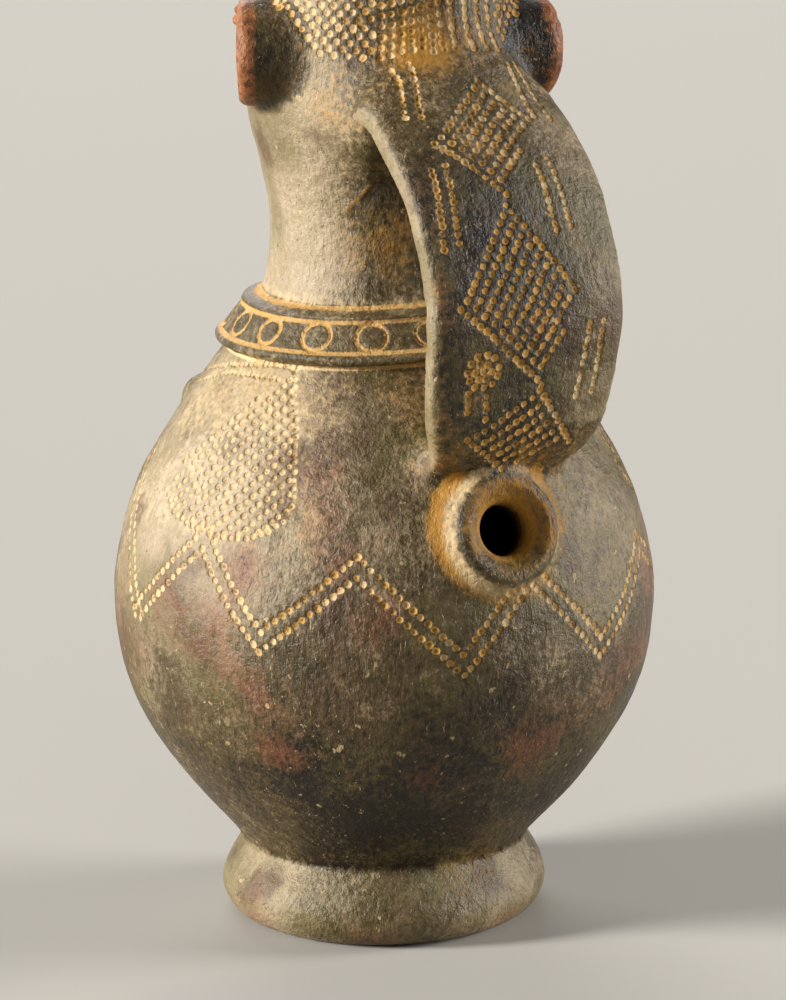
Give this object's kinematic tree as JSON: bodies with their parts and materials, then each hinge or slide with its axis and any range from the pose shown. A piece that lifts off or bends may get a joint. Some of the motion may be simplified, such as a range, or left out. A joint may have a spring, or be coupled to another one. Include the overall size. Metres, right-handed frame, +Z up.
{
  "type": "anthropomorphic jar",
  "caption": "Hollow fired-clay jar in the form of a figure, with a ring foot, round belly, neck collar, head with disc ears, broad strap handle and short pouring spout.",
  "frame": {"origin": "on the ground, at the centre of the footprint of the jar's bounding box", "axes": "+Z up, the figure's front towards -Y with the head turned 16 degrees from it, handle and spout towards +Y"},
  "size_m": [0.228, 0.2353, 0.4461],
  "materials": {
    "fired_clay": "burnished, unglazed, worn, with ochre dust in the impressions"
  },
  "bodies": {
    "root": {"anthropomorphic_jar": "fired_clay"}
  },
  "joints": []
}
